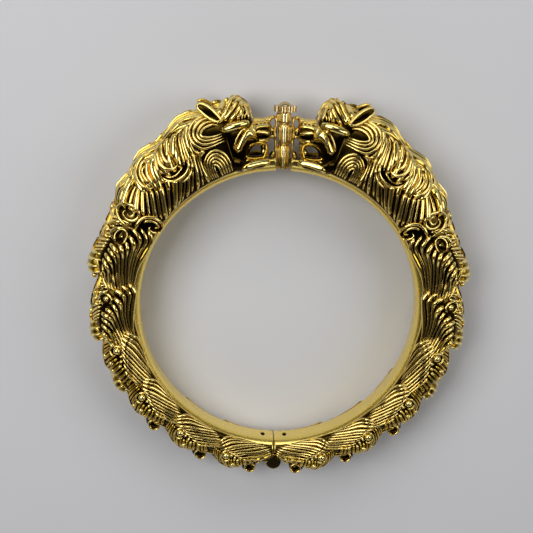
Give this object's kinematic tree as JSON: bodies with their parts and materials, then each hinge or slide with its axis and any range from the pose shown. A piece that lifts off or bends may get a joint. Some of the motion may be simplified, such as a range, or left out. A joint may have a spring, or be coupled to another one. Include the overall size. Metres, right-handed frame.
{
  "type": "hinged lion head bangle",
  "caption": "Hinged cast bangle in two halves that end in lion heads facing a screw-pinned clasp, with rows of smaller heads running down to the hinge.",
  "frame": {"origin": "centre of the wrist bore, on the ring's axis and midway across its width", "axes": "+Z along the ring's axis, upwards as the bangle lies on its side; +Y from the centre towards the clasp, so the hinge is towards -Y; +X towards the half with the middle knuckles"},
  "size_m": [0.0832, 0.0834, 0.0158],
  "materials": {
    "casting": "polished gold plate, satin on the inner band",
    "screw": "polished gold plate",
    "pin": "dull, darkened brass"
  },
  "bodies": {
    "left": {"left_half": "casting", "hinge_pin": "pin"},
    "right": {"right_half": "casting"},
    "screw": {"clasp_screw": "screw"}
  },
  "joints": [
    {"name": "hinge_open", "type": "hinge", "parent": "left", "child": "right", "pos_m": [0, -0.03506, 0], "axis": [0, 0, -1], "range_deg": [0, 55]},
    {"name": "screw_draw", "type": "slide", "parent": "left", "child": "screw", "axis": [0, 1, 0], "range_m": [0, 0.014]}
  ]
}
